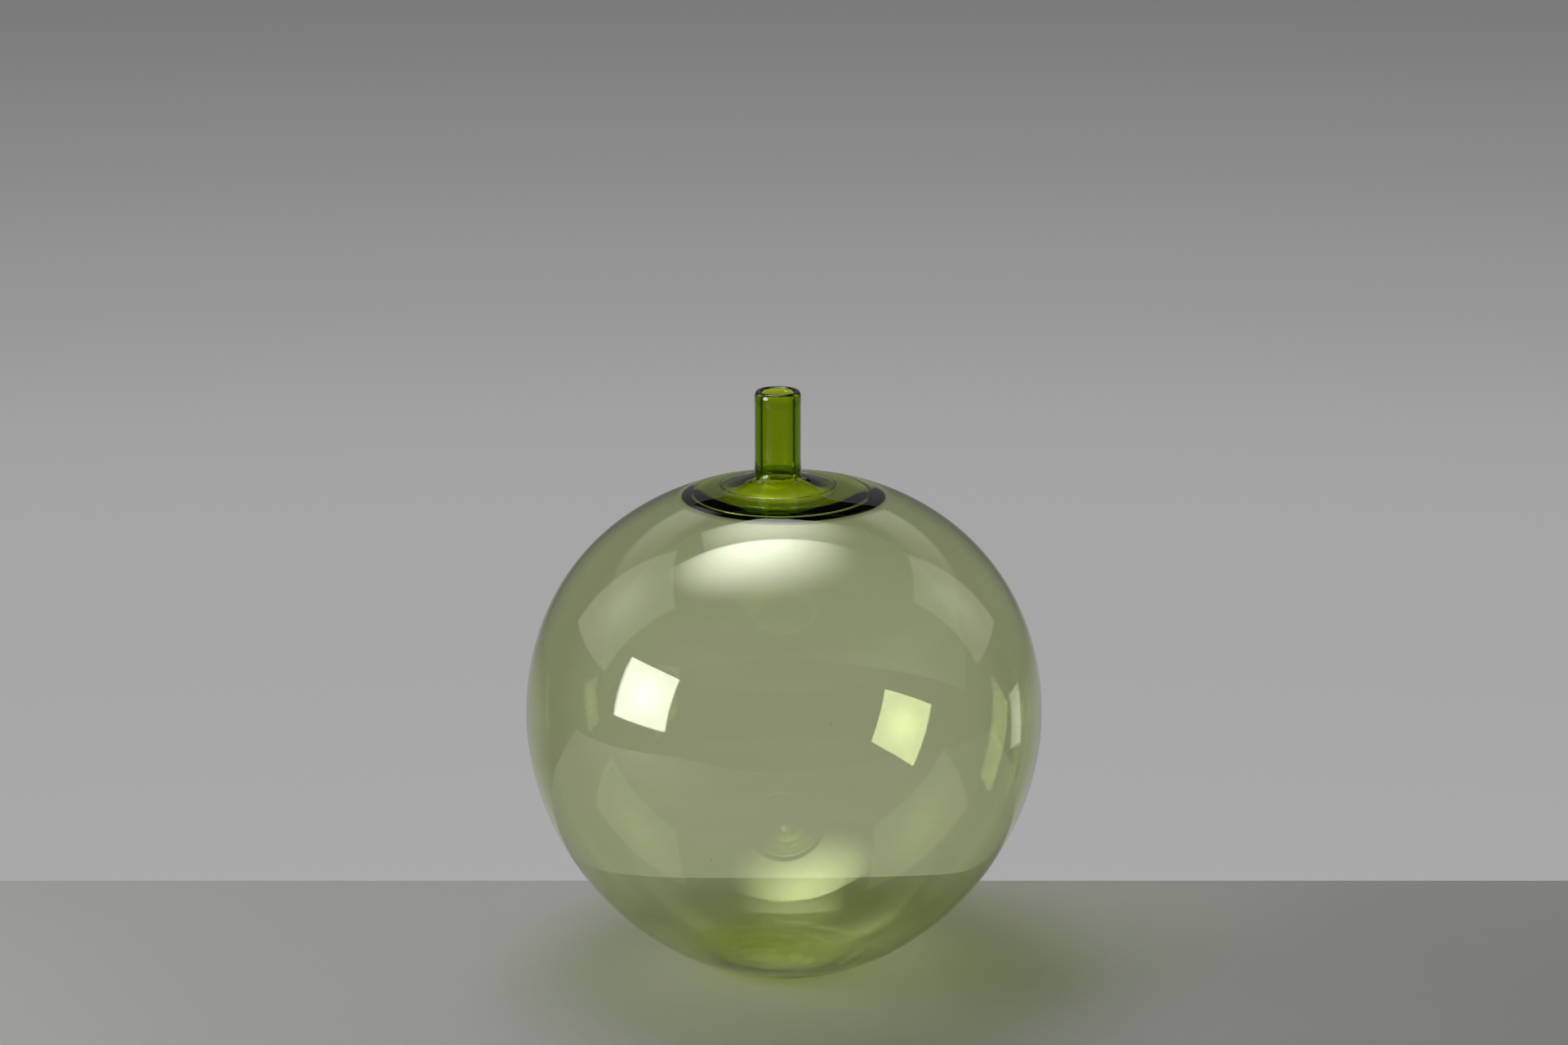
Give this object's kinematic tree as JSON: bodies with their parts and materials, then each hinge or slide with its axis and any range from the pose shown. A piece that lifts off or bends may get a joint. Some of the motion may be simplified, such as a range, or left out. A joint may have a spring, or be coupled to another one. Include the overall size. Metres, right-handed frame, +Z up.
{
  "type": "blown glass apple",
  "caption": "Large hollow apple of thin pale green blown glass with a thick open stem fused to a low ringed flare on its crown; a decorative vessel that stands on a flat ground foot.",
  "frame": {"origin": "middle of the ground foot, on the surface the apple stands on", "axes": "+Z up the body's axis; +Y away from the viewer of the picture, +X to that viewer's right; the stem stands upright 3.8 mm to -X of the body's axis"},
  "size_m": [0.32, 0.32, 0.3675],
  "materials": {
    "body_glass": "polished, transparent, pale green through the thin wall",
    "stem_glass": "polished, transparent, deep green through the thick wall"
  },
  "bodies": {
    "root": {"body": "body_glass", "stem": "stem_glass"}
  },
  "joints": []
}
